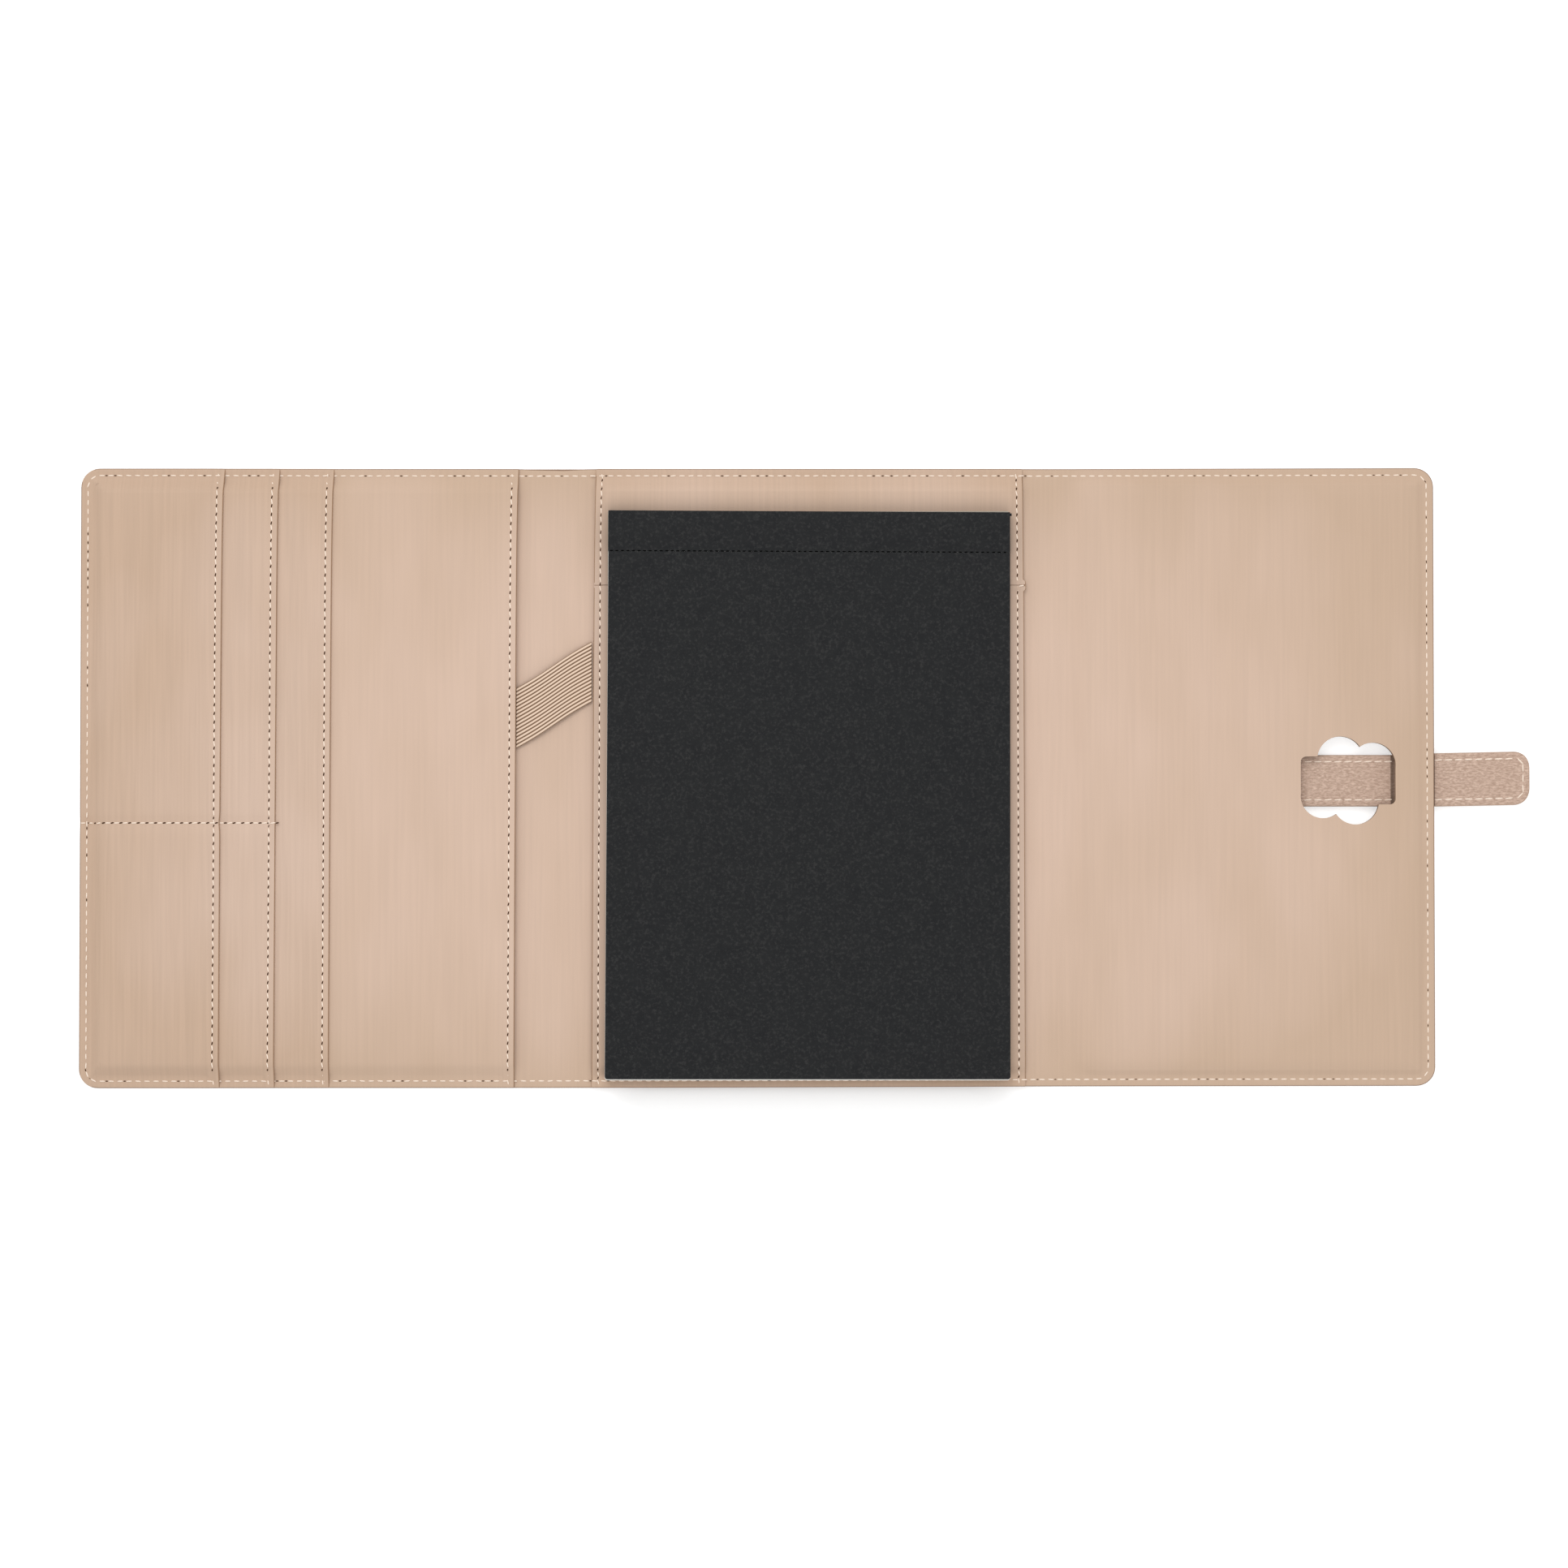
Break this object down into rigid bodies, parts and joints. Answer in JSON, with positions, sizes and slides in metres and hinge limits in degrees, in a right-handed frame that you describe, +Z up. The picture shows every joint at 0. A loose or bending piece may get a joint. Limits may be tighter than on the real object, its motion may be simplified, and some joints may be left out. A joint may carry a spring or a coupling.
{
  "type": "trifold writing folder with pad",
  "caption": "Leather trifold writing folder lying open, with stepped card pockets, an elastic pen loop, a top-bound paper pad in sleeves, and a closing flap with a lobed window over a strap.",
  "frame": {"origin": "middle of the underside of the opened folder's bounding box, on the surface that it lies on", "axes": "+X along the opened folder, from the pocket cover to the strap's tip; +Y up the page, towards the pad's bound edge; +Z up from the surface"},
  "size_m": [0.5354, 0.229, 0.0093],
  "materials": {
    "lining_leather": "smooth matt",
    "pocket_leather": "smooth matt with a faint brushed texture",
    "outer_leather": "fine pebble grain",
    "strap_leather": "fine pebble grain",
    "board": "grey board",
    "elastic": "ribbed woven elastic",
    "black_cover": "matt black paper",
    "paper": "white paper",
    "card": "grey back card"
  },
  "bodies": {
    "centre": {"centre_outer": "outer_leather", "centre_board": "board", "centre_lining": "lining_leather", "centre_sleeve_upper": "pocket_leather", "centre_sleeve_lower": "pocket_leather", "pad_back_card": "card", "pad_sheets": "paper", "pad_header": "black_cover"},
    "pad_cover": {"pad_cover": "black_cover"},
    "spine": {"spine_outer": "outer_leather", "spine_lining": "lining_leather", "pen_loop": "elastic"},
    "left_cover": {"cover_outer": "outer_leather", "cover_board": "board", "cover_lining": "lining_leather", "document_pocket": "lining_leather", "card_pocket_inner": "pocket_leather", "card_pocket_middle": "pocket_leather", "card_pocket_front": "pocket_leather"},
    "right_flap": {"flap_outer": "outer_leather", "flap_board": "board", "flap_lining": "lining_leather"},
    "strap": {"strap_outer": "strap_leather", "strap_inner": "strap_leather"}
  },
  "joints": [
    {"name": "spine_fold", "type": "hinge", "parent": "centre", "child": "spine", "pos_m": [-0.07875, 0, 0.0049], "axis": [0, 1, 0], "range_deg": [0, 90]},
    {"name": "left_cover_fold", "type": "hinge", "parent": "spine", "child": "left_cover", "pos_m": [-0.10675, 0, 0.0043], "axis": [0, 1, 0], "range_deg": [0, 97]},
    {"name": "right_flap_fold", "type": "hinge", "parent": "centre", "child": "right_flap", "pos_m": [0.09325, 0, 0.0106], "axis": [0, -1, 0], "range_deg": [0, 170]},
    {"name": "pad_cover_fold", "type": "hinge", "parent": "centre", "child": "pad_cover", "pos_m": [0.00125, 0.084, 0.00935], "axis": [-1, 0, 0], "range_deg": [0, 180]},
    {"name": "strap_lift", "type": "hinge", "parent": "right_flap", "child": "strap", "pos_m": [0.17126, -0.00045, 0.001], "axis": [0, 1, 0], "range_deg": [0, 90]}
  ]
}
